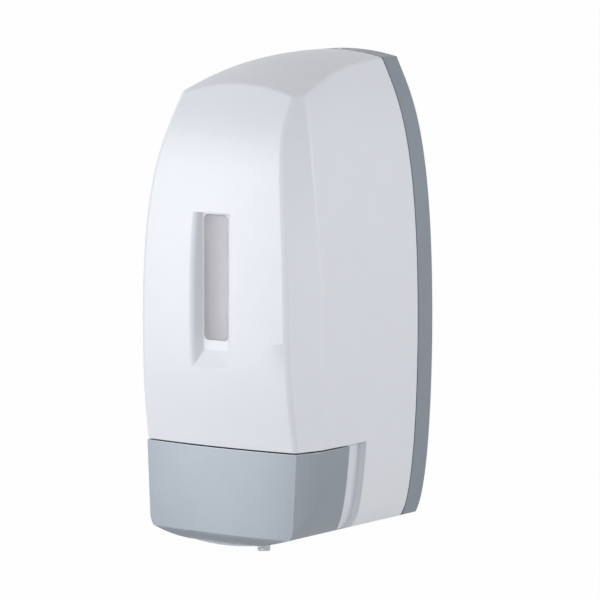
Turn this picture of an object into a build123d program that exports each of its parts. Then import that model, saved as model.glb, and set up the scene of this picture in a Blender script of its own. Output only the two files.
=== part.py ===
from build123d import *
import os

# A wall mounted push soap dispenser, in millimetres. The wall is the plane Y = 0, the front
# looks along -Y and +Z is up. A depth below is a distance from the wall, so Y = -depth.

# Body outline, seen from the front
half_width = 50.0
top_z = 133.1
bottom_z = -99.6
top_corner_x = 28.5
top_corner_drop = 3.3
bottom_corner_x = 40.4
bottom_corner_rise = 6.2
shoulder_in = 13.5
shoulder_drop = 17.3
upper_pull = 32.0
lower_pull = 14.5
belly_pull = 4.0
top_corner_z = top_z - top_corner_drop
bottom_corner_z = bottom_z + bottom_corner_rise

# Body side view: front face, top and the facet between the front and each side
front_depth = 114.0
panel_setback = 5.6
front_belly_z = 15.0
crown_radius = 328.0
brow_pull = 83.0
brow_in = 12.0
brow_drop = 33.0
crest_in = 28.3
crest_drop = 7.0
chin_pull = 36.5
chin_in = 2.9
chin_rise = 18.5
arch_radius = 122.0
top_radius = 235.0
facet_length = 32.0
facet_front_beyond = 4.0
facet_back_out = 2.35
facet_front_in = 10.0
facet_back_low_in = 0.6
facet_front_low_in = 9.3
facet_back_toe_in = 6.8
facet_front_toe_in = 9.3
facet_back_pull_in = 2.3
facet_front_pull_in = 32.0
facet_back_crest_x = 18.7
facet_front_crest_x = 0.6
facet_top_rise = 5.0
facet_upper_drop = 41.4
facet_shoulder_drop = 34.5
facet_belly_pull = 23.4
facet_low_pull = 13.0
toe_radius = 5.0
panel_front_depth = front_depth - panel_setback
facet_front_depth = front_depth + facet_front_beyond
facet_back_depth = facet_front_depth - facet_length

# Walls and gaps
cover_wall = 2.2
panel_wall = 2.2
rim_wall = 2.4
base_thickness = 3.0
rim_depth = 12.0
rear_gap = 0.7
panel_height = 47.7
seam_gap = 0.7
running_gap = 0.05
edge_fillet = 3.0
seam_z = bottom_z + panel_height
cover_back_depth = rim_depth + rear_gap
cover_low_z = seam_z + seam_gap / 2
panel_top_z = seam_z - seam_gap / 2

# Push panel and the recess in the cover that it slides into
panel_length = 41.1
panel_travel = 8.5
recess_spare = 5.3
recess_floor = 4.0
recess_corner = 11.0
recess_corner_gap = 1.8
wing_clearance = 0.6
skirt_wall = 2.0
skirt_floor = 2.6
skirt_reach = 16.7
ledge = 1.8
lip_length = 14.9
flange_length = 10.4
flange_thickness = 2.0
panel_back_depth = panel_front_depth - panel_length
wing_pushed_depth = panel_back_depth - panel_travel
recess_back_depth = wing_pushed_depth - recess_spare
skirt_front_depth = panel_back_depth + skirt_reach
lip_depth = panel_front_depth - lip_length
flange_depth = panel_front_depth - flange_length
skirt_inset = recess_floor + skirt_wall

# Guides of the push panel
guide_radius = 2.5
guide_reach = 10.7
guide_drop = 7.75
guide_pitch = 10.0
guide_slot_gap = 0.1
guide_end_gap = 0.2
guide_root = 1.2
washer_radius = 4.2
washer_thickness = 0.8
guide_screw_radius = 1.25
guide_screw_length = 5.0
guide_head_radius = 2.8
guide_head_height = 1.8
screw_slot_width = 0.9
screw_slot_depth = 0.9
guide_depth = panel_back_depth + guide_reach
guide_top_z = panel_top_z - guide_drop

# Window in the front
window_half_width = 7.0
window_low_z = -0.7
window_high_z = 58.6
window_corner = 2.2
window_recess = 5.3
window_gap = 0.15
window_flange = 2.0
window_flange_thickness = 1.0
window_frame_wall = 2.2
mouth_fillet = 3.0
sill_side = 0.6
sill_low = 4.8
sill_high = 1.0
flare_side = 3.3
flare_low = 10.0
flare_high = 0.4
window_floor_depth = front_depth - window_recess
window_floor_half_width = window_half_width + sill_side
window_floor_low_z = window_low_z - sill_low
window_floor_high_z = window_high_z + sill_high
window_mouth_half_width = window_floor_half_width + flare_side
window_mouth_low_z = window_floor_low_z - flare_low
window_mouth_high_z = window_floor_high_z + flare_high

# Cover hinge at the lower rear
hinge_depth = 30.0
hinge_rise = 10.6
hinge_pin_radius = 2.0
hinge_eye_radius = 4.0
eye_length = 3.5
eye_skin = 0.4
arm_thickness = 5.0
hinge_side_gap = 0.5
heel_relief = 0.25
shelf_setback = 6.0
shelf_side_gap = 0.6
floor_gap = 0.5
floor_nozzle_gap = 2.7
hinge_z = bottom_z + hinge_rise
shelf_depth = hinge_depth - hinge_eye_radius - shelf_setback
floor_back_depth = hinge_depth + hinge_eye_radius + floor_gap
floor_half_width = bottom_corner_x - cover_wall
shelf_half_width = floor_half_width - shelf_side_gap

# Wall fixing
wall_hole_radius = 2.5
wall_hole_spacing_x = 64.0
wall_hole_spacing_z = 140.0

# Tank
tank_side_gap = 12.0
tank_stand_off = 2.0
tank_window_gap = 7.5
tank_rise = 28.0
tank_head_room = 48.1
tank_wall = 2.0
tank_corner = 4.0
tab_half_width = 6.0
tab_thickness = 3.0
tab_height = 14.0
tank_screw_x = 22.0
tank_screw_margin = 7.0
tank_screw_radius = 1.8
tank_screw_gap = 0.1
tank_screw_depth = 9.0
tank_head_radius = 3.6
tank_head_height = 2.2
boss_radius = 5.0
pump_rise = 23.6
pump_axis_z = bottom_z + pump_rise
tank_half_width = half_width - tank_side_gap
tank_back_depth = rim_depth + tank_stand_off
tank_front_depth = window_floor_depth - window_frame_wall - window_flange_thickness - tank_window_gap
tank_low_z = pump_axis_z + tank_rise
tank_top_z = top_z - tank_head_room

# Fill mouth, its rails and the sliding lid
mouth_half_width = 22.0
mouth_length = 32.0
mouth_setback = 6.0
collar_wall = 2.0
collar_height = 5.0
rail_setback = 3.0
rail_wall = 2.0
rail_lip = 1.5
rail_grip = 2.0
lid_thickness = 2.5
lid_gap = 0.3
lid_side_overlap = 4.2
lid_overlap = 2.0
lid_travel = 34.0
lid_grip_height = 3.0
lid_grip_thickness = 2.0
lid_grip_half_width = 12.0
lid_half_width = mouth_half_width + lid_side_overlap
mouth_front_depth = tank_front_depth - mouth_setback
mouth_back_depth = mouth_front_depth - mouth_length
rail_front_depth = tank_front_depth - rail_setback
rail_back_depth = mouth_back_depth - lid_overlap - lid_travel

# Piston, its cap, its spring and the pad that presses it
bore_radius = 7.0
piston_side_gap = 0.2
piston_end_gap = 0.8
piston_front_gap = 0.6
piston_length = 4.4
seal_gap = 0.03
seal_width = 1.6
seal_depth = 1.4
rod_radius = 4.0
cap_thickness = 3.5
cap_socket = 2.0
stroke_gap = 0.3
spring_gap = 0.4
spring_wire_radius = 0.7
spring_turns = 5
spring_end_gap = 0.1
pad_radius = 8.0
pad_thickness = 2.0
pad_gap = 0.3
pad_stem_radius = 2.0
pad_stem_length = 1.7
pad_boss_length = 2.0
pad_boss_wall = 2.0
pad_front_depth = panel_front_depth - panel_wall - pad_boss_length
cap_front_depth = pad_front_depth - pad_thickness - pad_gap
cap_back_depth = cap_front_depth - cap_thickness
piston_radius = bore_radius - piston_side_gap

# Pump, with its outlet straight below the tank's neck
barrel_wall = 2.0
barrel_cap_thickness = 1.6
collar_width = 3.0
collar_reach = 7.3
collar_thickness = 2.0
tube_radius = 8.0
passage_radius = 3.5
bore_overlap = 0.5
neck_radius = 9.6
neck_bore_radius = 6.0
neck_length = 9.5
gasket_thickness = 1.5
gasket_inset = 0.2
flange_height = 2.5
nut_wall = 3.3
nut_gap = 0.1
nut_overlap = 7.0
nut_lip = 2.0
nut_grips = 12
nut_grip_radius = 1.2
seat_radius = 6.0
seat_thickness = 3.0
seat_hole_radius = 2.0
ball_radius = 2.6
ball_rest_drop = 4.0
ball_gap = 0.1
valve_pin_radius = 0.8
spigot_radius = 6.5
spigot_drop = 13.0
spigot_length = 4.0
outlet_flange = 1.2
outlet_dome_radius = 3.0
outlet_dome_height = 2.8
outlet_wall = 0.8
nozzle_cup_wall = 1.45
nozzle_cup_gap = 1.0
nozzle_cup_drop = 3.5
nozzle_cone_length = 4.0
nozzle_tip_length = 6.2
nozzle_tip_radius = 3.1
nozzle_bore_radius = 2.0
nozzle_chamber_radius = 3.4
nozzle_chamber_drop = 5.5
barrel_radius = bore_radius + barrel_wall
barrel_front_depth = cap_back_depth - panel_travel - stroke_gap - barrel_cap_thickness
piston_back_depth = barrel_front_depth - piston_front_gap - piston_length
bore_back_depth = piston_back_depth - panel_travel - piston_end_gap
nozzle_depth = bore_back_depth - passage_radius + bore_overlap
collar_radius = barrel_radius + collar_width
collar_depth = nozzle_depth + collar_reach
cap_radius = collar_radius
spring_radius = barrel_radius + spring_gap + spring_wire_radius
nut_radius = neck_radius + nut_gap + nut_wall
spigot_top_z = pump_axis_z - spigot_drop
spigot_low_z = spigot_top_z - spigot_length
nozzle_cup_radius = spigot_radius + running_gap + nozzle_cup_wall
nozzle_cup_top_z = spigot_top_z - nozzle_cup_gap
nozzle_cup_low_z = spigot_low_z - nozzle_cup_drop
nozzle_cone_low_z = nozzle_cup_low_z - nozzle_cone_length
nozzle_tip_z = nozzle_cone_low_z - nozzle_tip_length
nozzle_chamber_low_z = spigot_low_z - nozzle_chamber_drop
floor_front_depth = nozzle_depth - nozzle_cup_radius - floor_nozzle_gap

# Key lock of the cover
lock_collar_radius = 5.2
lock_head_radius = 4.4
lock_head_height = 1.5
lock_shank_radius = 3.75
lock_collar_drop = 9.7
lock_sink = 0.2
lock_end_gap = 0.2
key_slot_width = 1.6
key_slot_length = 5.4
key_slot_deep = 4.0
cam_thickness = 2.5
cam_hub_radius = 3.4
cam_width = 5.0
cam_reach = 14.2
hook_width = 3.0
hook_reach = 9.0
catch_gap = 0.5
catch_thickness = 2.5
catch_low_x = 3.6
catch_high_x = 12.0
catch_height = 16.0
lock_screw_radius = 1.4
lock_screw_length = 6.0
lock_screw_head_radius = 2.6
lock_screw_head_height = 1.8
lock_depth = rim_depth - lock_collar_radius

# Reach of the cutting blocks, past every face that they cut
clear = 150.0


def write(piece, name):
    """Label a finished piece and write it as one STEP file."""
    piece.part.label = name
    export_step(piece.part, f"parts/{name}.step")


def outline(depth, inset=0.0, low_inset=None):
    """Front view of the body in the plane at this depth, moved in by inset."""
    rise = inset if low_inset is None else low_inset
    width = half_width - inset
    top_x = top_corner_x - inset
    top = top_corner_z - inset
    low_x = bottom_corner_x - inset
    low = bottom_corner_z + rise
    shoulder = (half_width - shoulder_in - inset, top_corner_z - shoulder_drop - inset)
    upper = (width, top_corner_z - upper_pull)
    lower = (width, bottom_corner_z + lower_pull)
    belly = (width, -belly_pull)
    with BuildSketch(Plane.XZ.offset(depth)) as front_view:
        with BuildLine():
            Bezier((width, 0), upper, shoulder, (top_x, top))
            ThreePointArc((top_x, top), (0, top_z - inset), (-top_x, top))
            Bezier((-top_x, top), (-shoulder[0], shoulder[1]), (-upper[0], upper[1]), (-width, 0))
            Bezier((-width, 0), (-belly[0], belly[1]), (-lower[0], lower[1]), (-low_x, low))
            ThreePointArc((-low_x, low), (0, bottom_z + rise), (low_x, low))
            Bezier((low_x, low), lower, belly, (width, 0))
        make_face()
    return front_view.sketch


def width_at(z):
    """Half width of the lower body at height z, found by halving along its side curve."""
    low, high = 0.0, 1.0
    for _ in range(40):
        t = (low + high) / 2
        s = 1 - t
        lower_z = bottom_corner_z + lower_pull
        curve_z = -3 * s * s * t * belly_pull + 3 * s * t * t * lower_z + t**3 * bottom_corner_z
        low, high = (t, high) if curve_z > z else (low, t)
    return half_width - (half_width - bottom_corner_x) * low**3


def facet_section(depth, belly_x, low_x, toe_x, pull_x, top_x):
    """One cross section of the block whose slanted sides are the facets."""
    crest_z = top_z + facet_top_rise
    floor_z = bottom_z - clear
    upper_z = crest_z - facet_upper_drop
    shoulder_z = crest_z - facet_shoulder_drop
    low_pull_z = seam_z + facet_low_pull
    with BuildSketch(Plane.XZ.offset(depth)) as section:
        with BuildLine():
            Bezier((belly_x, 0), (belly_x, upper_z), (pull_x, shoulder_z), (top_x, crest_z))
            Line((top_x, crest_z), (-top_x, crest_z))
            Bezier((-top_x, crest_z), (-pull_x, shoulder_z), (-belly_x, upper_z), (-belly_x, 0))
            Bezier((-belly_x, 0), (-belly_x, -facet_belly_pull), (-low_x, low_pull_z), (-low_x, seam_z))
            Polyline((-low_x, seam_z), (-toe_x, bottom_z), (-toe_x, floor_z))
            Polyline((-toe_x, floor_z), (toe_x, floor_z), (toe_x, bottom_z), (low_x, seam_z))
            Bezier((low_x, seam_z), (low_x, low_pull_z), (belly_x, -facet_belly_pull), (belly_x, 0))
        make_face()
    return section.sketch


def facet_block(inset):
    """A block whose sides are the facets, carried on straight behind the body's sides."""
    width = half_width - inset
    back = (
        width + facet_back_out,
        width - facet_back_low_in,
        width - facet_back_toe_in,
        width - facet_back_pull_in,
        facet_back_crest_x,
    )
    front = (
        width - facet_front_in,
        width - facet_front_low_in,
        width - facet_front_toe_in,
        width - facet_front_pull_in,
        facet_front_crest_x,
    )
    rear = [2 * back_x - front_x for back_x, front_x in zip(back, front)]
    sections = [
        facet_section(0, *rear),
        facet_section(facet_back_depth - facet_length, *rear),
        facet_section(facet_back_depth, *back),
        facet_section(facet_front_depth, *front),
    ]
    with BuildPart() as block:
        loft([section.face() for section in sections], ruled=True)
    return block.part


def front_block(inset):
    """Everything behind the crowned front face, which rolls under at the toe."""
    axis_y = crown_radius - front_depth
    belly = (-front_depth + inset, front_belly_z)
    toe = (-panel_front_depth + inset, seam_z)
    crest = (belly[0] + crest_in, top_z - crest_drop)
    brow = (belly[0] + brow_in, top_z - brow_drop)
    chin = (toe[0] - chin_in, seam_z + chin_rise)
    high_z = top_z + clear
    low_z = bottom_z - clear
    lean = (crest[0] - brow[0]) / (crest[1] - brow[1])
    beyond = (crest[0] + lean * (high_z - crest[1]), high_z)
    roll = (toe[0] + toe_radius, bottom_corner_z)
    with BuildSketch(Plane.YZ) as side_view:
        with BuildLine():
            Line((roll[0], low_z), (roll[0], roll[1] - toe_radius))
            CenterArc(roll, toe_radius, 180, 90)
            Line((toe[0], roll[1]), toe)
            Bezier(toe, chin, (belly[0], front_belly_z - chin_pull), belly)
            Bezier(belly, (belly[0], front_belly_z + brow_pull), brow, crest)
            Polyline(crest, beyond, (axis_y, high_z), (axis_y, low_z), (roll[0], low_z))
        make_face()
    with BuildPart() as block:
        revolve(side_view.sketch, axis=Axis((0, axis_y, 0), (0, 0, 1)))
    return block.part


def top_block(inset):
    """Everything below the top, which is arched across and falls towards the front."""
    reach = half_width + facet_back_out
    sag = arch_radius - (arch_radius**2 - reach**2) ** 0.5
    crest_z = top_z - inset
    axis_z = top_z - top_radius
    with BuildSketch(Plane.XZ.offset(rim_depth)) as arch:
        with BuildLine():
            ThreePointArc((reach, crest_z - sag), (0, crest_z), (-reach, crest_z - sag))
            Polyline((-reach, crest_z - sag), (-reach, axis_z), (reach, axis_z), (reach, crest_z - sag))
        make_face()
    with BuildPart() as block:
        revolve(arch.sketch, axis=Axis((0, -rim_depth, axis_z), (1, 0, 0)))
    return block.part


def envelope(back_depth, inset=0.0, low_inset=None):
    """The outer form of the body in front of back_depth, moved in by inset."""
    with BuildPart() as form:
        extrude(outline(back_depth, inset, low_inset), amount=facet_front_depth - back_depth)
        add(facet_block(inset), mode=Mode.INTERSECT)
        add(front_block(inset), mode=Mode.INTERSECT)
        add(top_block(inset), mode=Mode.INTERSECT)
    return form.part


def slab(low_x, high_x, back_depth, front_depth_end, low_z, high_z):
    """A block between two sides, two depths and two heights."""
    with BuildPart() as block:
        with Locations((low_x, -front_depth_end, low_z)):
            Box(
                high_x - low_x,
                front_depth_end - back_depth,
                high_z - low_z,
                align=(Align.MIN, Align.MIN, Align.MIN),
            )
    return block.part


def wide_slab(back_depth, front_depth_end, low_z, high_z):
    """A block across the whole width."""
    return slab(-clear, clear, back_depth, front_depth_end, low_z, high_z)


def side_recess(inset, back_depth, front_depth_end, low_z, high_z, corner):
    """What a recess takes off both sides down to inset, its lower rear corner rounded in side view."""
    with BuildPart() as recess:
        with BuildSketch(Plane.YZ.offset(-clear)) as side_view:
            with BuildLine():
                Polyline(
                    (-back_depth, high_z),
                    (-front_depth_end, high_z),
                    (-front_depth_end, low_z),
                    (-back_depth, low_z),
                    close=True,
                )
            make_face()
            fillet(side_view.vertices().group_by(Axis.Y)[0].sort_by(Axis.X)[-1], corner)
        extrude(amount=2 * clear)
        extrude(outline(0, inset, -wing_clearance), amount=clear, mode=Mode.SUBTRACT)
    return recess.part


def rod_along_y(radius, back_depth, end_depth, x, z):
    """A round bar along the depth."""
    with BuildPart() as bar:
        with BuildSketch(Plane.XZ.offset(back_depth)):
            with Locations((x, z)):
                Circle(radius)
        extrude(amount=end_depth - back_depth)
    return bar.part


def rod_along_z(radius, low_z, high_z, depth):
    """An upright round bar in the middle plane."""
    with BuildPart() as bar:
        with BuildSketch(Plane.XY.offset(low_z)):
            with Locations((0, -depth)):
                Circle(radius)
        extrude(amount=high_z - low_z)
    return bar.part


def rod_along_x(radius, low_x, high_x, depth, z):
    """A round bar across the width."""
    with BuildPart() as bar:
        with BuildSketch(Plane.YZ.offset(low_x)):
            with Locations((-depth, z)):
                Circle(radius)
        extrude(amount=high_x - low_x)
    return bar.part


os.makedirs("parts", exist_ok=True)
sides = (-1, 1)
hinge_pin_outer_x = width_at(hinge_z) - cover_wall
eye_outer_x = width_at(hinge_z - hinge_eye_radius) - eye_skin
eye_inner_x = eye_outer_x - eye_length
arm_outer_x = eye_inner_x - hinge_side_gap
arm_inner_x = arm_outer_x - arm_thickness
tank_screw_places = [
    (side * tank_screw_x, z)
    for side in sides
    for z in (tank_top_z + tank_screw_margin, tank_low_z - tank_screw_margin)
]

# Back plate: a base on the wall with a rim, tank bosses, hinge arms and the lock's collar
lock_collar_low_z = top_z - lock_collar_drop
lock_seat_z = top_z - lock_sink - lock_head_height
with BuildPart() as back_plate:
    extrude(outline(0), amount=rim_depth)
    extrude(outline(base_thickness, rim_wall), amount=rim_depth - base_thickness, mode=Mode.SUBTRACT)
    with BuildPart(mode=Mode.PRIVATE) as shelf:
        extrude(outline(base_thickness), amount=shelf_depth - base_thickness)
        extrude(outline(base_thickness, rim_wall), amount=shelf_depth, mode=Mode.SUBTRACT)
        add(
            slab(-shelf_half_width, shelf_half_width, 0, clear, bottom_z - clear, hinge_z),
            mode=Mode.INTERSECT,
        )
    add(shelf.part)
    with BuildSketch(Plane.XZ.offset(base_thickness)):
        with Locations(*tank_screw_places):
            Circle(boss_radius)
    extrude(amount=tank_back_depth - base_thickness)
    with BuildSketch(Plane.XZ.offset(tank_back_depth)):
        with Locations(*tank_screw_places):
            Circle(tank_screw_radius)
    extrude(amount=-tank_screw_depth, mode=Mode.SUBTRACT)
    for side in sides:
        with BuildSketch(Plane.YZ.offset(side * arm_inner_x)):
            with Locations((-hinge_depth, hinge_z)):
                Circle(hinge_eye_radius)
            with Locations((-hinge_depth / 2, hinge_z)):
                Rectangle(hinge_depth - base_thickness, 2 * hinge_eye_radius)
            with Locations((-hinge_depth, hinge_z)):
                Circle(hinge_pin_radius, mode=Mode.SUBTRACT)
        extrude(amount=side * arm_thickness)
    add(rod_along_z(lock_collar_radius, lock_collar_low_z, top_z - rim_wall / 2, lock_depth))
    add(
        rod_along_z(lock_shank_radius + running_gap, lock_collar_low_z, top_z, lock_depth),
        mode=Mode.SUBTRACT,
    )
    add(
        rod_along_z(lock_head_radius + running_gap, lock_seat_z, top_z + rim_wall, lock_depth),
        mode=Mode.SUBTRACT,
    )
    with BuildSketch(Plane.XZ):
        with GridLocations(wall_hole_spacing_x, wall_hole_spacing_z, 2, 2):
            Circle(wall_hole_radius)
    extrude(amount=base_thickness, mode=Mode.SUBTRACT)
write(back_plate, "back_plate")

# Hinge pins: pressed into the plate's arms, turning in the cover's eyes
with BuildPart() as hinge_pins:
    for side in sides:
        with BuildSketch(Plane.YZ.offset(side * arm_inner_x)):
            with Locations((-hinge_depth, hinge_z)):
                Circle(hinge_pin_radius)
        extrude(amount=side * (hinge_pin_outer_x - arm_inner_x))
write(hinge_pins, "hinge_pins")

# Cover: the white shell with the window recess, the skirts behind the push panel, the hinge
# eyes and the catch of the lock
catch_depth = lock_depth + cam_reach - hook_width - catch_gap
corner_ahead = recess_corner - recess_spare
corner_above = ((recess_corner - recess_corner_gap) ** 2 - corner_ahead**2) ** 0.5
recess_low_z = bottom_corner_z + corner_above - recess_corner
with BuildPart() as cover:
    add(envelope(cover_back_depth))
    add(wide_slab(0, clear, cover_low_z, top_z + clear), mode=Mode.INTERSECT)
    soft_edges = [
        edge
        for edge in cover.edges()
        if edge.center().Y < -cover_back_depth - edge_fillet and edge.center().Z > cover_low_z + edge_fillet
    ]
    fillet(soft_edges, edge_fillet)
    with BuildPart(mode=Mode.PRIVATE) as skirts:
        extrude(outline(cover_back_depth), amount=skirt_front_depth - cover_back_depth)
        add(wide_slab(0, clear, bottom_z - clear, cover_low_z), mode=Mode.INTERSECT)
    add(skirts.part)
    with BuildPart(mode=Mode.PRIVATE) as upper_hollow:
        add(envelope(rim_depth, cover_wall))
        add(wide_slab(0, clear, cover_low_z + ledge, top_z + clear), mode=Mode.INTERSECT)
    with BuildPart(mode=Mode.PRIVATE) as rear_hollow:
        extrude(outline(rim_depth, cover_wall), amount=recess_back_depth - cover_wall - rim_depth)
        add(wide_slab(0, clear, bottom_z - clear, 0), mode=Mode.INTERSECT)
    with BuildPart(mode=Mode.PRIVATE) as skirt_hollow:
        add(envelope(rim_depth, skirt_inset, skirt_floor))
        add(wide_slab(0, clear, bottom_z - clear, 0), mode=Mode.INTERSECT)
    for hollow in (upper_hollow, rear_hollow, skirt_hollow):
        add(hollow.part, mode=Mode.SUBTRACT)
    add(
        side_recess(
            recess_floor,
            recess_back_depth,
            skirt_front_depth + clear / 2,
            recess_low_z,
            cover_low_z,
            recess_corner,
        ),
        mode=Mode.SUBTRACT,
    )
    with BuildPart(mode=Mode.PRIVATE) as heel_cut:
        add(wide_slab(0, hinge_depth, bottom_z - clear, hinge_z))
        heel_radius = hinge_depth - cover_back_depth - heel_relief
        add(rod_along_x(heel_radius, -clear, clear, hinge_depth, hinge_z), mode=Mode.SUBTRACT)
    add(heel_cut.part, mode=Mode.SUBTRACT)
    add(
        slab(-floor_half_width, floor_half_width, 0, floor_back_depth, bottom_z - clear, hinge_z),
        mode=Mode.SUBTRACT,
    )
    floor_inner_x = bottom_corner_x - skirt_inset
    add(
        slab(-floor_inner_x, floor_inner_x, floor_front_depth, clear, bottom_z - clear, hinge_z),
        mode=Mode.SUBTRACT,
    )
    for side in sides:
        eye_ends = sorted((side * eye_inner_x, side * eye_outer_x))
        add(rod_along_x(hinge_eye_radius, *eye_ends, hinge_depth, hinge_z))
    add(
        rod_along_x(
            hinge_pin_radius + running_gap, -hinge_pin_outer_x, hinge_pin_outer_x, hinge_depth, hinge_z
        ),
        mode=Mode.SUBTRACT,
    )
    for z in (guide_top_z, guide_top_z - guide_pitch):
        slot_radius = guide_radius + guide_slot_gap
        with BuildSketch(Plane.YZ.offset(-clear)):
            with Locations((-guide_depth + panel_travel / 2, z)):
                SlotCenterToCenter(panel_travel, 2 * slot_radius)
        extrude(amount=2 * clear, mode=Mode.SUBTRACT)
    with BuildPart(mode=Mode.PRIVATE) as window_frame:
        frame_half_width = window_mouth_half_width + window_frame_wall
        add(
            slab(
                -frame_half_width,
                frame_half_width,
                window_floor_depth - window_frame_wall,
                clear,
                window_mouth_low_z - window_frame_wall,
                window_mouth_high_z + window_frame_wall,
            )
        )
        add(envelope(rim_depth, cover_wall / 2), mode=Mode.INTERSECT)
    add(window_frame.part)
    with BuildSketch(Plane.XZ.offset(front_depth)) as mouth:
        with Locations((0, (window_mouth_low_z + window_mouth_high_z) / 2)):
            Rectangle(2 * window_mouth_half_width, window_mouth_high_z - window_mouth_low_z)
    with BuildSketch(Plane.XZ.offset(window_floor_depth)) as floor:
        with Locations((0, (window_floor_low_z + window_floor_high_z) / 2)):
            Rectangle(2 * window_floor_half_width, window_floor_high_z - window_floor_low_z)
    loft([mouth.sketch.face(), floor.sketch.face()], mode=Mode.SUBTRACT)
    mouth_edges = [
        edge
        for edge in cover.edges()
        if edge.bounding_box().max.Y < -window_floor_depth - window_gap
        and abs(edge.center().X) < window_mouth_half_width
        and edge.bounding_box().size.Z > window_high_z - window_low_z
    ]
    fillet(mouth_edges, mouth_fillet)
    with BuildSketch(Plane.XZ.offset(window_floor_depth - window_frame_wall)):
        with Locations((0, (window_low_z + window_high_z) / 2)):
            RectangleRounded(
                2 * (window_half_width + window_gap),
                window_high_z - window_low_z + 2 * window_gap,
                window_corner + window_gap,
            )
    extrude(amount=window_frame_wall, mode=Mode.SUBTRACT)
    with BuildPart(mode=Mode.PRIVATE) as catch:
        add(
            slab(
                catch_low_x,
                catch_high_x,
                catch_depth - catch_thickness,
                catch_depth,
                top_z - catch_height,
                top_z,
            )
        )
        extrude(outline(rim_depth, cover_wall / 2), amount=catch_depth - rim_depth, mode=Mode.INTERSECT)
    add(catch.part)
write(cover, "cover")

# Window: a clear pane, flush with the floor of its recess, held by a flange behind it
window_height = window_high_z - window_low_z
with BuildPart() as window:
    with BuildSketch(Plane.XZ.offset(window_floor_depth - window_frame_wall)):
        with Locations((0, (window_low_z + window_high_z) / 2)):
            RectangleRounded(2 * window_half_width, window_height, window_corner)
    extrude(amount=window_frame_wall)
    with BuildSketch(Plane.XZ.offset(window_floor_depth - window_frame_wall)):
        with Locations((0, (window_low_z + window_high_z) / 2)):
            RectangleRounded(
                2 * (window_half_width + window_flange),
                window_height + 2 * window_flange,
                window_corner + window_flange,
            )
    extrude(amount=-window_flange_thickness)
write(window, "window")

# Push panel: the grey lower front with its wings, a top flange, a bottom lip and guide bosses
guide_places = [(guide_top_z, side) for side in sides]
guide_places += [(guide_top_z - guide_pitch, side) for side in sides]


def guide_end(z):
    """Where a guide boss ends, just inside the skirt over the whole washer."""
    return width_at(z - washer_radius) - skirt_inset - guide_end_gap


with BuildPart() as panel_form:
    add(envelope(panel_back_depth))
    add(wide_slab(0, clear, bottom_z - clear, panel_top_z), mode=Mode.INTERSECT)
with BuildPart() as panel_lip:
    add(panel_form.part)
    extrude(outline(0, panel_wall), amount=clear, mode=Mode.SUBTRACT)
    add(wide_slab(lip_depth, clear, bottom_z - clear, bottom_corner_z + panel_wall), mode=Mode.INTERSECT)
with BuildPart() as panel_hollow:
    add(envelope(rim_depth, panel_wall, -wing_clearance))
    add(
        wide_slab(flange_depth, clear, panel_top_z - flange_thickness, top_z + clear),
        mode=Mode.SUBTRACT,
    )
with BuildPart() as push_panel:
    add(panel_form.part)
    add(panel_hollow.part, mode=Mode.SUBTRACT)
    add(panel_lip.part)
    for z, side in guide_places:
        with BuildSketch(Plane.YZ.offset(side * guide_end(z))):
            with Locations((-guide_depth, z)):
                Circle(guide_radius)
        extrude(amount=side * (width_at(z) - panel_wall + guide_root - guide_end(z)))
        with BuildSketch(Plane.YZ.offset(side * guide_end(z))):
            with Locations((-guide_depth, z)):
                Circle(guide_screw_radius)
        extrude(amount=side * guide_screw_length, mode=Mode.SUBTRACT)
    pad_boss_front_depth = panel_front_depth - panel_wall / 2
    add(rod_along_y(pad_radius + pad_boss_wall, pad_front_depth, pad_boss_front_depth, 0, pump_axis_z))
    add(
        rod_along_y(pad_stem_radius, pad_front_depth, pad_front_depth + pad_stem_length, 0, pump_axis_z),
        mode=Mode.SUBTRACT,
    )
write(push_panel, "push_panel")

# Guide washers and screws: they hold the wings to the skirts
with BuildPart() as guide_washers:
    for z, side in guide_places:
        with BuildSketch(Plane.YZ.offset(side * guide_end(z))):
            with Locations((-guide_depth, z)):
                Circle(washer_radius)
                Circle(guide_screw_radius, mode=Mode.SUBTRACT)
        extrude(amount=-side * washer_thickness)
write(guide_washers, "guide_washers")
with BuildPart() as guide_screws:
    for z, side in guide_places:
        head_x = guide_end(z) - washer_thickness
        with BuildSketch(Plane.YZ.offset(side * head_x)):
            with Locations((-guide_depth, z)):
                Circle(guide_head_radius)
        extrude(amount=-side * guide_head_height)
        with BuildSketch(Plane.YZ.offset(side * (head_x - guide_head_height))):
            with Locations((-guide_depth, z)):
                Rectangle(2 * guide_head_radius, screw_slot_width)
        extrude(amount=side * screw_slot_depth, mode=Mode.SUBTRACT)
        with BuildSketch(Plane.YZ.offset(side * head_x)):
            with Locations((-guide_depth, z)):
                Circle(guide_screw_radius)
        extrude(amount=side * (washer_thickness + guide_screw_length))
write(guide_screws, "guide_screws")

# Push pad: a rubber button with a stem in the panel's boss
with BuildPart() as push_pad:
    add(rod_along_y(pad_radius, pad_front_depth - pad_thickness, pad_front_depth, 0, pump_axis_z))
    add(rod_along_y(pad_stem_radius, pad_front_depth, pad_front_depth + pad_stem_length, 0, pump_axis_z))
write(push_pad, "push_pad")

# Tank: a rounded box with a neck below, a fill mouth and lid rails on top, and screw tabs behind
collar_top_z = tank_top_z + collar_height
rail_top_z = collar_top_z + 2 * lid_gap + lid_thickness + rail_lip
rail_outer_x = lid_half_width + lid_gap + rail_wall
neck_low_z = tank_low_z - neck_length


def tank_block(inset):
    """The rounded box of the tank, moved in by inset."""
    back, front = tank_back_depth + inset, tank_front_depth - inset
    width = tank_half_width - inset
    with BuildPart() as block:
        with BuildSketch(Plane.XY.offset(tank_low_z + inset)) as plan:
            with Locations((0, -(back + front) / 2)):
                Rectangle(2 * width, front - back)
            fillet(plan.vertices(), tank_corner - inset)
        extrude(amount=tank_top_z - tank_low_z - 2 * inset)
    return block.part


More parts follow.
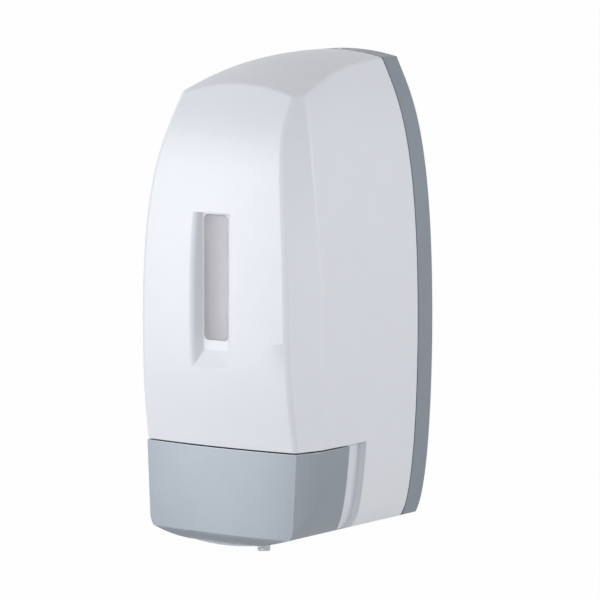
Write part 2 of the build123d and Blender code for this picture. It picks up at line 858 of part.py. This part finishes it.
with BuildPart() as tank:
    add(tank_block(0))
    for x, z in tank_screw_places:
        tab_low_z = tank_top_z - tank_wall if z > 0 else tank_low_z - tab_height
        tab_high_z = tank_top_z + tab_height if z > 0 else tank_low_z + tank_wall
        add(
            slab(
                x - tab_half_width,
                x + tab_half_width,
                tank_back_depth,
                tank_back_depth + tab_thickness,
                tab_low_z,
                tab_high_z,
            )
        )
    add(rod_along_z(neck_radius, neck_low_z, tank_low_z + tank_wall, nozzle_depth))
    collar_half_width = mouth_half_width + collar_wall
    add(
        slab(
            -collar_half_width,
            collar_half_width,
            mouth_back_depth - collar_wall,
            mouth_front_depth + collar_wall,
            tank_top_z - tank_wall,
            collar_top_z,
        )
    )
    for side in sides:
        with BuildSketch(Plane.XZ.offset(rail_back_depth)):
            with BuildLine():
                Polyline(
                    (side * mouth_half_width, tank_top_z - tank_wall),
                    (side * rail_outer_x, tank_top_z - tank_wall),
                    (side * rail_outer_x, rail_top_z),
                    (side * (lid_half_width - rail_grip), rail_top_z),
                    (side * (lid_half_width - rail_grip), rail_top_z - rail_lip),
                    (side * (lid_half_width + lid_gap), rail_top_z - rail_lip),
                    (side * (lid_half_width + lid_gap), collar_top_z),
                    (side * mouth_half_width, collar_top_z),
                    close=True,
                )
            make_face()
        extrude(amount=rail_front_depth - rail_back_depth)
    add(tank_block(tank_wall), mode=Mode.SUBTRACT)
    add(
        slab(
            -mouth_half_width,
            mouth_half_width,
            mouth_back_depth,
            mouth_front_depth,
            tank_top_z - 2 * tank_wall,
            collar_top_z,
        ),
        mode=Mode.SUBTRACT,
    )
    add(
        rod_along_z(neck_bore_radius, neck_low_z, tank_low_z + 2 * tank_wall, nozzle_depth),
        mode=Mode.SUBTRACT,
    )
    with BuildSketch(Plane.XZ.offset(tank_back_depth)):
        with Locations(*tank_screw_places):
            Circle(tank_screw_radius + tank_screw_gap)
    extrude(amount=tab_thickness, mode=Mode.SUBTRACT)
write(tank, "tank")

# Tank screws
tank_head_depth = tank_back_depth + tab_thickness
with BuildPart() as tank_screws:
    for x, z in tank_screw_places:
        add(rod_along_y(tank_head_radius, tank_head_depth, tank_head_depth + tank_head_height, x, z))
        add(rod_along_y(tank_screw_radius, tank_back_depth - tank_screw_depth, tank_head_depth, x, z))
        with BuildSketch(Plane.XZ.offset(tank_head_depth + tank_head_height)):
            with Locations((x, z)):
                Rectangle(2 * tank_head_radius, screw_slot_width)
        extrude(amount=-screw_slot_depth, mode=Mode.SUBTRACT)
write(tank_screws, "tank_screws")

# Tank lid: a plate between the rails with a finger grip
lid_low_z = collar_top_z + lid_gap
lid_back_depth = mouth_back_depth - lid_overlap
lid_front_depth = mouth_front_depth + lid_overlap
with BuildPart() as tank_lid:
    add(
        slab(
            -lid_half_width,
            lid_half_width,
            lid_back_depth,
            lid_front_depth,
            lid_low_z,
            lid_low_z + lid_thickness,
        )
    )
    add(
        slab(
            -lid_grip_half_width,
            lid_grip_half_width,
            lid_front_depth - lid_grip_thickness,
            lid_front_depth,
            lid_low_z,
            lid_low_z + lid_thickness + lid_grip_height,
        )
    )
write(tank_lid, "tank_lid")

# Pump body: an upright tube under the tank's neck and a barrel towards the front
gasket_low_z = neck_low_z - gasket_thickness
pump_flange_low_z = gasket_low_z - flange_height
seat_low_z = gasket_low_z - seat_thickness
ball_z = seat_low_z - ball_rest_drop
valve_pin_z = ball_z - ball_radius - ball_gap - valve_pin_radius
valve_pin_half_length = (tube_radius**2 - valve_pin_radius**2) ** 0.5 - ball_gap
with BuildPart() as pump_body:
    add(rod_along_z(tube_radius, spigot_top_z, gasket_low_z, nozzle_depth))
    add(rod_along_z(neck_radius, pump_flange_low_z, gasket_low_z, nozzle_depth))
    add(rod_along_z(spigot_radius, spigot_low_z, spigot_top_z, nozzle_depth))
    add(rod_along_y(barrel_radius, nozzle_depth, barrel_front_depth, 0, pump_axis_z))
    add(rod_along_y(collar_radius, collar_depth, collar_depth + collar_thickness, 0, pump_axis_z))
    add(rod_along_y(bore_radius, bore_back_depth, barrel_front_depth, 0, pump_axis_z), mode=Mode.SUBTRACT)
    add(rod_along_z(passage_radius, spigot_low_z, gasket_low_z, nozzle_depth), mode=Mode.SUBTRACT)
    add(rod_along_z(seat_radius, seat_low_z, gasket_low_z, nozzle_depth), mode=Mode.SUBTRACT)
    add(
        rod_along_x(valve_pin_radius, -tube_radius, tube_radius, nozzle_depth, valve_pin_z),
        mode=Mode.SUBTRACT,
    )
write(pump_body, "pump_body")

# Barrel cap: keeps the piston in the barrel and guides its rod
with BuildPart() as barrel_cap:
    barrel_cap_front_depth = barrel_front_depth + barrel_cap_thickness
    add(rod_along_y(barrel_radius, barrel_front_depth, barrel_cap_front_depth, 0, pump_axis_z))
    add(
        rod_along_y(rod_radius + running_gap, barrel_front_depth, barrel_cap_front_depth, 0, pump_axis_z),
        mode=Mode.SUBTRACT,
    )
write(barrel_cap, "barrel_cap")

# Gasket between the tank's neck and the pump
with BuildPart() as pump_gasket:
    add(rod_along_z(neck_radius - gasket_inset, gasket_low_z, neck_low_z, nozzle_depth))
    add(
        rod_along_z(neck_bore_radius + gasket_inset, gasket_low_z, neck_low_z, nozzle_depth),
        mode=Mode.SUBTRACT,
    )
write(pump_gasket, "pump_gasket")

# Union nut: draws the pump's flange up against the neck
nut_low_z = pump_flange_low_z - nut_lip
with BuildPart() as union_nut:
    add(rod_along_z(nut_radius, nut_low_z, neck_low_z + nut_overlap, nozzle_depth))
    add(
        rod_along_z(neck_radius + nut_gap, pump_flange_low_z, neck_low_z + nut_overlap, nozzle_depth),
        mode=Mode.SUBTRACT,
    )
    add(
        rod_along_z(tube_radius + nut_gap, nut_low_z, pump_flange_low_z, nozzle_depth),
        mode=Mode.SUBTRACT,
    )
    with BuildSketch(Plane.XY.offset(nut_low_z)):
        with Locations((0, -nozzle_depth)):
            with PolarLocations(nut_radius, nut_grips):
                Circle(nut_grip_radius)
    extrude(amount=neck_low_z + nut_overlap - nut_low_z, mode=Mode.SUBTRACT)
write(union_nut, "union_nut")

# Inlet valve: a seat in the top of the pump, a ball below it and the pin that catches the ball
with BuildPart() as inlet_seat:
    add(rod_along_z(seat_radius, seat_low_z, gasket_low_z, nozzle_depth))
    add(rod_along_z(seat_hole_radius, seat_low_z, gasket_low_z, nozzle_depth), mode=Mode.SUBTRACT)
write(inlet_seat, "inlet_seat")
with BuildPart() as inlet_ball:
    with Locations((0, -nozzle_depth, ball_z)):
        Sphere(ball_radius)
write(inlet_ball, "inlet_ball")
with BuildPart() as valve_pin:
    add(
        rod_along_x(
            valve_pin_radius, -valve_pin_half_length, valve_pin_half_length, nozzle_depth, valve_pin_z
        )
    )
write(valve_pin, "valve_pin")

# Outlet valve: a soft dome with a flange, clamped between the spigot and the nozzle
outlet_flange_low_z = spigot_low_z - outlet_flange
outlet_low_z = outlet_flange_low_z - outlet_dome_height
with BuildPart() as outlet_valve:
    add(rod_along_z(spigot_radius, outlet_flange_low_z, spigot_low_z, nozzle_depth))
    add(rod_along_z(outlet_dome_radius, outlet_low_z, outlet_flange_low_z, nozzle_depth))
    add(
        rod_along_z(
            outlet_dome_radius - outlet_wall, outlet_low_z + outlet_wall, spigot_low_z, nozzle_depth
        ),
        mode=Mode.SUBTRACT,
    )
write(outlet_valve, "outlet_valve")

# Nozzle: a clear cup over the spigot, a cone and the straight tip
with BuildPart() as nozzle:
    with BuildSketch(Plane.XZ.offset(nozzle_depth)):
        with BuildLine():
            Polyline(
                (spigot_radius + running_gap, nozzle_cup_top_z),
                (nozzle_cup_radius, nozzle_cup_top_z),
                (nozzle_cup_radius, nozzle_cup_low_z),
                (nozzle_tip_radius, nozzle_cone_low_z),
                (nozzle_tip_radius, nozzle_tip_z),
                (nozzle_bore_radius, nozzle_tip_z),
                (nozzle_bore_radius, nozzle_chamber_low_z),
                (nozzle_chamber_radius, nozzle_chamber_low_z),
                (nozzle_chamber_radius, outlet_flange_low_z),
                (spigot_radius + running_gap, outlet_flange_low_z),
                close=True,
            )
        make_face()
    revolve(axis=Axis((0, -nozzle_depth, 0), (0, 0, 1)))
write(nozzle, "nozzle")

# Piston with a groove for its seal, and the seal
piston_front_depth = piston_back_depth + piston_length
seal_back_depth = piston_back_depth + (piston_length - seal_width) / 2
seal_outer_radius = bore_radius - seal_gap
seal_inner_radius = seal_outer_radius - seal_depth
with BuildPart() as piston_seal:
    add(rod_along_y(seal_outer_radius, seal_back_depth, seal_back_depth + seal_width, 0, pump_axis_z))
    add(
        rod_along_y(seal_inner_radius, seal_back_depth, seal_back_depth + seal_width, 0, pump_axis_z),
        mode=Mode.SUBTRACT,
    )
write(piston_seal, "piston_seal")
with BuildPart() as piston:
    add(rod_along_y(piston_radius, piston_back_depth, piston_front_depth, 0, pump_axis_z))
    add(rod_along_y(rod_radius, piston_front_depth, cap_back_depth + cap_socket, 0, pump_axis_z))
    add(piston_seal.part, mode=Mode.SUBTRACT)
write(piston, "piston")

# Piston cap: the plate that the pad presses and the spring pushes back
with BuildPart() as piston_cap:
    add(rod_along_y(cap_radius, cap_back_depth, cap_front_depth, 0, pump_axis_z))
    add(
        rod_along_y(rod_radius, cap_back_depth, cap_back_depth + cap_socket, 0, pump_axis_z),
        mode=Mode.SUBTRACT,
    )
write(piston_cap, "piston_cap")

# Return spring round the barrel, between the pump's collar and the piston cap
spring_start_depth = collar_depth + collar_thickness + spring_wire_radius + spring_end_gap
spring_height = cap_back_depth - spring_wire_radius - spring_end_gap - spring_start_depth
with BuildPart() as return_spring:
    with BuildLine():
        coil = Helix(
            pitch=spring_height / spring_turns,
            height=spring_height,
            radius=spring_radius,
            center=(0, -spring_start_depth, pump_axis_z),
            direction=(0, -1, 0),
        )
    with BuildSketch(Plane(origin=coil @ 0, z_dir=coil % 0)):
        Circle(spring_wire_radius)
    sweep(path=coil)
write(return_spring, "return_spring")

# Lock barrel: a round key plug in the top of the rim
lock_end_z = lock_collar_low_z - lock_end_gap
with BuildPart() as lock_barrel:
    add(rod_along_z(lock_head_radius, lock_seat_z, top_z - lock_sink, lock_depth))
    add(rod_along_z(lock_shank_radius, lock_end_z, lock_seat_z, lock_depth))
    with BuildSketch(Plane.XY.offset(top_z - lock_sink)):
        with Locations((0, -lock_depth)):
            Rectangle(key_slot_length, key_slot_width)
    extrude(amount=-key_slot_deep, mode=Mode.SUBTRACT)
    lock_screw_end_z = lock_end_z + lock_screw_length - cam_thickness
    add(rod_along_z(lock_screw_radius, lock_end_z, lock_screw_end_z, lock_depth), mode=Mode.SUBTRACT)
write(lock_barrel, "lock_barrel")

# Lock cam: points sideways when unlocked, its hook goes before the catch when turned to the front
cam_low_z = lock_end_z - cam_thickness
with BuildPart() as lock_cam:
    add(rod_along_z(cam_hub_radius, cam_low_z, lock_end_z, lock_depth))
    add(
        slab(
            -cam_reach,
            0,
            lock_depth - cam_width / 2,
            lock_depth + cam_width / 2,
            cam_low_z,
            lock_end_z,
        )
    )
    add(slab(-cam_reach, hook_width - cam_reach, lock_depth, lock_depth + hook_reach, cam_low_z, lock_end_z))
    add(rod_along_z(lock_screw_radius, cam_low_z, lock_end_z, lock_depth), mode=Mode.SUBTRACT)
write(lock_cam, "lock_cam")

# Screw that holds the cam to the barrel
with BuildPart() as lock_screw:
    add(rod_along_z(lock_screw_head_radius, cam_low_z - lock_screw_head_height, cam_low_z, lock_depth))
    add(rod_along_z(lock_screw_radius, cam_low_z, cam_low_z + lock_screw_length, lock_depth))
write(lock_screw, "lock_screw")
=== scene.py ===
from math import cos, pi, sin
import bpy
from mathutils import Matrix, Vector


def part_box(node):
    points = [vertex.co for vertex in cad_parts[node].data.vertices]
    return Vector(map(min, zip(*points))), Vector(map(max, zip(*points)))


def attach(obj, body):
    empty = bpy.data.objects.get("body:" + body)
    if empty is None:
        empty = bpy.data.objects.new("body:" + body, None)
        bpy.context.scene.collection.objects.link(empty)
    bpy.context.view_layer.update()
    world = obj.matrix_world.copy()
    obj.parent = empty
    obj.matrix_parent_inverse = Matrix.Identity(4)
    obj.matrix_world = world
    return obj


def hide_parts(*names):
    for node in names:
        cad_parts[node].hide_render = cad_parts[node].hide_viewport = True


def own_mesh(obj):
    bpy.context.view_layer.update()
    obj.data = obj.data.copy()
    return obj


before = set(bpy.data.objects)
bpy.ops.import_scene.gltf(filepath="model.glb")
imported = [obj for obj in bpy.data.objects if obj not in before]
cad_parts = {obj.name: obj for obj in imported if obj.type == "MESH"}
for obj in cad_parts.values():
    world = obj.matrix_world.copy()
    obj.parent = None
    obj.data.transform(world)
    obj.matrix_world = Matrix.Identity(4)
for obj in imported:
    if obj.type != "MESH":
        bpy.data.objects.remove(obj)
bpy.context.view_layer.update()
scene = bpy.context.scene
scene.view_settings.view_transform = "Standard"

MM = 0.001
SKIN_DEPTH = 0.02 * MM
EASED_EDGE = 0.2 * MM
SHEEN_SPREAD = 0.012
# Painted highlight on the satin grey: bevel radius, and the normal match over which the paler edge colour
# fades in
EDGE_HIGHLIGHT_RADIUS = 0.8 * MM
EDGE_HIGHLIGHT_START, EDGE_HIGHLIGHT_END = 0.94, 0.985
ACRYLIC_IOR = 1.49


# Node helpers

def new_material(name):
    """An empty node material: its tree, its Principled shader and its object coordinates."""
    material = bpy.data.materials.new(name)
    material.use_nodes = True
    tree = material.node_tree
    tree.nodes.clear()
    output = tree.nodes.new("ShaderNodeOutputMaterial")
    shader = tree.nodes.new("ShaderNodeBsdfPrincipled")
    coords = tree.nodes.new("ShaderNodeTexCoord")
    tree.links.new(shader.outputs["BSDF"], output.inputs["Surface"])
    return material, tree, shader, coords.outputs["Object"]


def noise(tree, vector, scale, detail=3.0, roughness=0.5):
    node = tree.nodes.new("ShaderNodeTexNoise")
    node.inputs["Scale"].default_value = scale
    node.inputs["Detail"].default_value = detail
    node.inputs["Roughness"].default_value = roughness
    tree.links.new(vector, node.inputs["Vector"])
    return node.outputs["Fac"]


def ramp(tree, factor, stops):
    """A colour ramp through (position, colour) stops."""
    node = tree.nodes.new("ShaderNodeValToRGB")
    elements = node.color_ramp.elements
    while len(elements) < len(stops):
        elements.new(0.5)
    for element, (position, colour) in zip(elements, stops):
        element.position = position
        element.color = (*colour, 1.0)
    tree.links.new(factor, node.inputs["Fac"])
    return node.outputs["Color"]


def spread(tree, factor, low, high, start=0.3, end=0.7):
    """The factor's middle part mapped to low..high."""
    node = tree.nodes.new("ShaderNodeMapRange")
    node.inputs["From Min"].default_value = start
    node.inputs["From Max"].default_value = end
    node.inputs["To Min"].default_value = low
    node.inputs["To Max"].default_value = high
    tree.links.new(factor, node.inputs["Value"])
    return node.outputs["Result"]


def bump(tree, height, strength, distance, edge_radius=0.0):
    """Surface relief, over edges that are eased by edge_radius."""
    node = tree.nodes.new("ShaderNodeBump")
    node.inputs["Strength"].default_value = strength
    node.inputs["Distance"].default_value = distance
    tree.links.new(height, node.inputs["Height"])
    if edge_radius:
        bevel = tree.nodes.new("ShaderNodeBevel")
        bevel.samples = 6
        bevel.inputs["Radius"].default_value = edge_radius
        tree.links.new(bevel.outputs["Normal"], node.inputs["Normal"])
    return node.outputs["Normal"]


def shaded(colour, gain):
    return tuple(min(1.0, c * gain) for c in colour)


def moulded_plastic(
    name, colour, rough, variation=0.025, grain=2600.0, relief=0.12, edge=0.35, specular=0.5
):
    """Moulded plastic: faint cloudy colour, fine skin relief and uneven sheen."""
    material, tree, shader, where = new_material(name)
    cloud = noise(tree, where, 38.0, 4.0, 0.55)
    tint = ramp(tree, cloud, [(0.25, shaded(colour, 1 - variation)), (0.75, shaded(colour, 1 + variation))])
    tree.links.new(tint, shader.inputs["Base Color"])
    skin = noise(tree, where, grain, 2.0, 0.6)
    sheen = noise(tree, where, 140.0, 3.0, 0.6)
    roughness = spread(tree, sheen, rough - SHEEN_SPREAD, rough + SHEEN_SPREAD)
    tree.links.new(roughness, shader.inputs["Roughness"])
    tree.links.new(bump(tree, skin, relief, SKIN_DEPTH, edge * MM), shader.inputs["Normal"])
    shader.inputs["Specular IOR Level"].default_value = specular
    return material, tree, shader


def satin_grey(name, colour, rough, metallic, specular, highlight_gain):
    """Silver grey plastic with a satin sheen, and a painted highlight: its colour is paler along its edges
    and creases.
    """
    material, tree, shader = moulded_plastic(name, colour, rough, relief=0.16, specular=specular)
    shader.inputs["Metallic"].default_value = metallic
    tint = shader.inputs["Base Color"].links[0].from_socket
    rounded = tree.nodes.new("ShaderNodeBevel")
    rounded.samples = 12
    rounded.inputs["Radius"].default_value = EDGE_HIGHLIGHT_RADIUS
    flat = tree.nodes.new("ShaderNodeNewGeometry")
    match = tree.nodes.new("ShaderNodeVectorMath")
    match.operation = "DOT_PRODUCT"
    tree.links.new(rounded.outputs["Normal"], match.inputs[0])
    tree.links.new(flat.outputs["Normal"], match.inputs[1])
    highlight_mask = spread(tree, match.outputs["Value"], 1.0, 0.0, EDGE_HIGHLIGHT_START, EDGE_HIGHLIGHT_END)
    # Painted highlight: the base colour turns paler where the bevelled normal leaves the flat one, along
    # edges and creases
    painted_highlight = tree.nodes.new("ShaderNodeMix")
    painted_highlight.data_type = "RGBA"
    painted_highlight.inputs["B"].default_value = (*shaded(colour, highlight_gain), 1.0)
    tree.links.new(highlight_mask, painted_highlight.inputs["Factor"])
    tree.links.new(tint, painted_highlight.inputs["A"])
    tree.links.new(painted_highlight.outputs["Result"], shader.inputs["Base Color"])
    return material


def clear_plastic(name, colour, rough, transmission, variation=0.04, edge=0.25):
    """Clear or frosted plastic with faint flow streaks."""
    material, tree, shader, where = new_material(name)
    stretch = tree.nodes.new("ShaderNodeMapping")
    stretch.inputs["Scale"].default_value = (1.0, 1.0, 0.18)
    tree.links.new(where, stretch.inputs["Vector"])
    streak = noise(tree, stretch.outputs["Vector"], 260.0, 3.0, 0.55)
    tint = ramp(tree, streak, [(0.2, shaded(colour, 1 - variation)), (0.8, shaded(colour, 1 + variation))])
    tree.links.new(tint, shader.inputs["Base Color"])
    tree.links.new(spread(tree, streak, rough * 0.8, rough * 1.2), shader.inputs["Roughness"])
    tree.links.new(bump(tree, streak, 0.06, SKIN_DEPTH, edge * MM), shader.inputs["Normal"])
    shader.inputs["Transmission Weight"].default_value = transmission
    shader.inputs["IOR"].default_value = ACRYLIC_IOR
    return material


def paint_shade_across(material, node, left, right):
    """Painted shade: multiply a clear material's colour from the left colour to the right one across the
    node's width.
    """
    low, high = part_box(node)
    tree = material.node_tree
    shader = next(n for n in tree.nodes if n.type == "BSDF_PRINCIPLED")
    coords = next(n for n in tree.nodes if n.type == "TEX_COORD")
    tint = shader.inputs["Base Color"].links[0].from_socket
    split = tree.nodes.new("ShaderNodeSeparateXYZ")
    tree.links.new(coords.outputs["Object"], split.inputs["Vector"])
    across = spread(tree, split.outputs["X"], 0.0, 1.0, low.x, high.x)
    # painted shade: the ramp's left colour darkens the material's left side
    sides = ramp(tree, across, [(0.2, left), (0.75, right)])
    mix = tree.nodes.new("ShaderNodeMix")
    mix.data_type = "RGBA"
    mix.blend_type = "MULTIPLY"
    mix.inputs["Factor"].default_value = 1.0
    tree.links.new(tint, mix.inputs["A"])
    tree.links.new(sides, mix.inputs["B"])
    tree.links.new(mix.outputs["Result"], shader.inputs["Base Color"])


def rubber(name, colour, rough):
    """Matt rubber or silicone: cloudy colour and a fine skin."""
    material, tree, shader, where = new_material(name)
    cloud = noise(tree, where, 90.0, 5.0, 0.65)
    tint = ramp(tree, cloud, [(0.2, shaded(colour, 0.75)), (0.8, shaded(colour, 1.35))])
    tree.links.new(tint, shader.inputs["Base Color"])
    skin = noise(tree, where, 1800.0, 3.0, 0.7)
    tree.links.new(spread(tree, cloud, rough - 0.08, rough + 0.08), shader.inputs["Roughness"])
    tree.links.new(bump(tree, skin, 0.3, 1.5 * SKIN_DEPTH, EASED_EDGE), shader.inputs["Normal"])
    return material


def metal(name, colour, rough, stretch, variation=0.12):
    """Bare or plated metal: streaks along the working direction."""
    material, tree, shader, where = new_material(name)
    mapping = tree.nodes.new("ShaderNodeMapping")
    mapping.inputs["Scale"].default_value = stretch
    tree.links.new(where, mapping.inputs["Vector"])
    streak = noise(tree, mapping.outputs["Vector"], 900.0, 4.0, 0.65)
    cloud = noise(tree, where, 160.0, 3.0, 0.5)
    tint = ramp(tree, cloud, [(0.2, shaded(colour, 1 - variation)), (0.8, shaded(colour, 1 + variation))])
    tree.links.new(tint, shader.inputs["Base Color"])
    tree.links.new(spread(tree, streak, rough * 0.7, rough * 1.3), shader.inputs["Roughness"])
    tree.links.new(bump(tree, streak, 0.12, SKIN_DEPTH, EASED_EDGE), shader.inputs["Normal"])
    shader.inputs["Metallic"].default_value = 1.0
    return material


# Materials of the CAD nodes

cover_white = moulded_plastic("cover_white", (0.80, 0.823, 0.874), 0.40, variation=0.012, specular=0.8)[0]
grey = (0.265, 0.295, 0.335)
plate_grey = moulded_plastic("plate_grey", (0.240, 0.278, 0.325), 0.42, relief=0.2, specular=0.5)[0]
# The panel gets a painted highlight along its edges and creases
panel_grey = satin_grey("panel_grey", shaded(grey, 0.92), 0.33, metallic=0.60, specular=0.8, highlight_gain=1.4)
window_clear = clear_plastic("window_clear", (0.88, 0.89, 0.95), 0.22, 0.70, variation=0.01, edge=0.0)
# Painted shade: the pane is darker and a little warmer on its left, where the recess's left wall shades it
paint_shade_across(window_clear, "window", (0.82, 0.78, 0.79), (1.0, 1.0, 1.0))
nozzle_clear = clear_plastic("nozzle_clear", (0.84, 0.87, 0.90), 0.32, 0.55, variation=0.02)
tank_milky, _, tank_shader = moulded_plastic(
    "tank_milky", (0.80, 0.81, 0.80), 0.38, variation=0.03, relief=0.2
)
scatter = 3 * MM
tank_shader.inputs["Subsurface Weight"].default_value = 0.3
tank_shader.inputs["Subsurface Radius"].default_value = (scatter, scatter, scatter)
lid_white = moulded_plastic("lid_white", (0.78, 0.79, 0.81), 0.4, variation=0.03)[0]
acetal = moulded_plastic("acetal", (0.76, 0.76, 0.73), 0.35, variation=0.03)[0]
pump_white = moulded_plastic("pump_white", (0.78, 0.78, 0.76), 0.36, variation=0.03)[0]
pump_grey = moulded_plastic("pump_grey", (0.24, 0.26, 0.285), 0.42, variation=0.05, relief=0.2)[0]
rubber_dark = rubber("rubber_dark", (0.035, 0.035, 0.038), 0.62)
silicone = rubber("silicone", (0.62, 0.63, 0.61), 0.5)
steel = metal("steel", (0.60, 0.60, 0.61), 0.3, (1.0, 1.0, 6.0))
spring_steel = metal("spring_steel", (0.46, 0.46, 0.48), 0.28, (6.0, 6.0, 1.0))
chrome = metal("chrome", (0.78, 0.78, 0.79), 0.12, (1.0, 1.0, 4.0), 0.04)
zinc = metal("zinc", (0.55, 0.55, 0.53), 0.45, (3.0, 3.0, 3.0))

finishes = {
    "back_plate": plate_grey,
    "hinge_pins": steel,
    "cover": cover_white,
    "window": window_clear,
    "push_panel": panel_grey,
    "push_pad": rubber_dark,
    "guide_screws": steel,
    "guide_washers": acetal,
    "tank": tank_milky,
    "tank_screws": steel,
    "tank_lid": lid_white,
    "pump_body": pump_white,
    "barrel_cap": pump_grey,
    "pump_gasket": rubber_dark,
    "union_nut": pump_grey,
    "inlet_seat": pump_grey,
    "inlet_ball": steel,
    "valve_pin": steel,
    "outlet_valve": silicone,
    "nozzle": nozzle_clear,
    "piston": pump_white,
    "piston_seal": rubber_dark,
    "piston_cap": pump_grey,
    "return_spring": spring_steel,
    "lock_barrel": chrome,
    "lock_cam": zinc,
    "lock_screw": steel,
}
for node, finish in finishes.items():
    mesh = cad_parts[node].data
    mesh.materials.clear()
    mesh.materials.append(finish)


# Return spring: a wire coil in the place of the CAD spring

def coil_spring(node, turns, wire_radius):
    """A helix in the place of the CAD node, attached to the wall unit."""
    low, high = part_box(node)
    length = high.y - low.y
    middle = (low + high) / 2
    radius = (high.x - low.x) / 2 - wire_radius
    steps_per_turn, sides = 48, 12
    rings = steps_per_turn * turns
    rise = length - 2 * wire_radius
    points, faces = [], []
    for ring in range(rings + 1):
        share = ring / rings
        angle = 2 * pi * turns * share
        out = Vector((cos(angle), 0.0, sin(angle)))
        along = low.y + wire_radius + rise * share
        for side in range(sides):
            turn = 2 * pi * side / sides
            reach = radius + wire_radius * cos(turn)
            points.append(Vector((middle.x, along + wire_radius * sin(turn), middle.z)) + reach * out)
    for ring in range(rings):
        for side in range(sides):
            near, far = ring * sides, (ring + 1) * sides
            after = (side + 1) % sides
            faces.append((near + side, near + after, far + after, far + side))
    faces.append(tuple(range(sides)))
    faces.append(tuple(reversed(range(rings * sides, (rings + 1) * sides))))
    mesh = bpy.data.meshes.new("return_coil")
    mesh.from_pydata(points, [], faces)
    mesh.shade_smooth()
    mesh.materials.append(spring_steel)
    coil = bpy.data.objects.new("return_coil", mesh)
    scene.collection.objects.link(coil)
    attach(coil, "wall_unit")
    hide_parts(node)
    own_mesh(coil)


coil_spring("return_spring", turns=5, wire_radius=0.7 * MM)


# Floor, light and camera

def seen_directly(tree, path):
    """1 for rays that show the background: from the camera, a gloss or through clear plastic."""
    first = tree.nodes.new("ShaderNodeMath")
    first.operation = "MAXIMUM"
    tree.links.new(path.outputs["Is Camera Ray"], first.inputs[0])
    tree.links.new(path.outputs["Is Glossy Ray"], first.inputs[1])
    second = tree.nodes.new("ShaderNodeMath")
    second.operation = "MAXIMUM"
    tree.links.new(first.outputs[0], second.inputs[0])
    tree.links.new(path.outputs["Is Transmission Ray"], second.inputs[1])
    return second.outputs[0]


def ground():
    """A wide pale floor below the part. The camera sees it near white, with the part's soft shadow."""
    size, height = 45.0, -0.34
    bounce, white_share = 0.62, 0.985
    mesh = bpy.data.meshes.new("floor")
    corners = [(-size, -size, height), (size, -size, height), (size, size, height), (-size, size, height)]
    mesh.from_pydata(corners, [], [(0, 1, 2, 3)])
    floor = bpy.data.objects.new("floor", mesh)
    scene.collection.objects.link(floor)
    material = bpy.data.materials.new("floor_pale")
    material.use_nodes = True
    tree = material.node_tree
    tree.nodes.clear()
    output = tree.nodes.new("ShaderNodeOutputMaterial")
    mix = tree.nodes.new("ShaderNodeMixShader")
    matt = tree.nodes.new("ShaderNodeBsdfDiffuse")
    glow = tree.nodes.new("ShaderNodeEmission")
    path = tree.nodes.new("ShaderNodeLightPath")
    matt.inputs["Color"].default_value = (bounce, bounce, bounce, 1.0)
    glow.inputs["Color"].default_value = (1.0, 1.0, 1.0, 1.0)
    seen = seen_directly(tree, path)
    share = tree.nodes.new("ShaderNodeMath")
    share.operation = "MULTIPLY"
    share.inputs[1].default_value = white_share
    tree.links.new(seen, share.inputs[0])
    tree.links.new(share.outputs[0], mix.inputs["Fac"])
    tree.links.new(matt.outputs[0], mix.inputs[1])
    tree.links.new(glow.outputs[0], mix.inputs[2])
    tree.links.new(mix.outputs[0], output.inputs["Surface"])
    mesh.materials.append(material)


def surroundings(fill_strength):
    """White behind the part, and an even pale light from all round."""
    world = bpy.data.worlds.new("studio")
    scene.world = world
    world.use_nodes = True
    tree = world.node_tree
    tree.nodes.clear()
    output = tree.nodes.new("ShaderNodeOutputWorld")
    mix = tree.nodes.new("ShaderNodeMixShader")
    fill = tree.nodes.new("ShaderNodeBackground")
    white = tree.nodes.new("ShaderNodeBackground")
    path = tree.nodes.new("ShaderNodeLightPath")
    fill.inputs["Color"].default_value = (0.97, 0.985, 1.0, 1.0)
    fill.inputs["Strength"].default_value = fill_strength
    white.inputs["Color"].default_value = (1.0, 1.0, 1.0, 1.0)
    white.inputs["Strength"].default_value = 1.0
    tree.links.new(seen_directly(tree, path), mix.inputs["Fac"])
    tree.links.new(fill.outputs[0], mix.inputs[1])
    tree.links.new(white.outputs[0], mix.inputs[2])
    tree.links.new(mix.outputs[0], output.inputs["Surface"])


def softbox(name, place, aim, width, height, watts):
    light = bpy.data.lights.new(name, "AREA")
    light.shape = "RECTANGLE"
    light.size, light.size_y = width, height
    light.energy = watts
    lamp = bpy.data.objects.new(name, light)
    lamp.location = place
    lamp.rotation_euler = (Vector(aim) - Vector(place)).to_track_quat("-Z", "Y").to_euler()
    scene.collection.objects.link(lamp)


ground()
surroundings(0.35)
centre = (0.0, -0.06, 0.02)
softbox("key", (-1.20, -1.69, -0.10), centre, 1.4, 2.4, 38.5)
softbox("side", (1.72, 0.72, 0.38), centre, 1.4, 1.4, 12.0)
softbox("fill", (1.15, -1.65, 0.15), centre, 1.6, 1.6, 9.5)

# Camera at the photograph's angle: the yaw, the pitch and the lens come from the fit to the photo
right = Vector((0.81128, 0.58466, 0.0))
up = Vector((-0.06473, 0.08982, 0.99385))
forward = Vector((-0.58106, 0.80629, -0.11072))
distance = 2.0
focal_pixels = 4043.7
photo_side = 600.0
origin_across, origin_down = 348.424, 317.10
off_right = (origin_across - photo_side / 2) / focal_pixels * distance
off_down = (origin_down - photo_side / 2) / focal_pixels * distance
place = -off_right * right + off_down * up - distance * forward
camera_data = bpy.data.cameras.new("camera")
camera_data.sensor_fit = "HORIZONTAL"
camera_data.sensor_width = 36.0
camera_data.lens = focal_pixels * camera_data.sensor_width / photo_side
camera = bpy.data.objects.new("camera", camera_data)
turn = Matrix((right, up, -forward)).transposed()
camera.matrix_world = Matrix.Translation(place) @ turn.to_4x4()
scene.collection.objects.link(camera)
scene.camera = camera
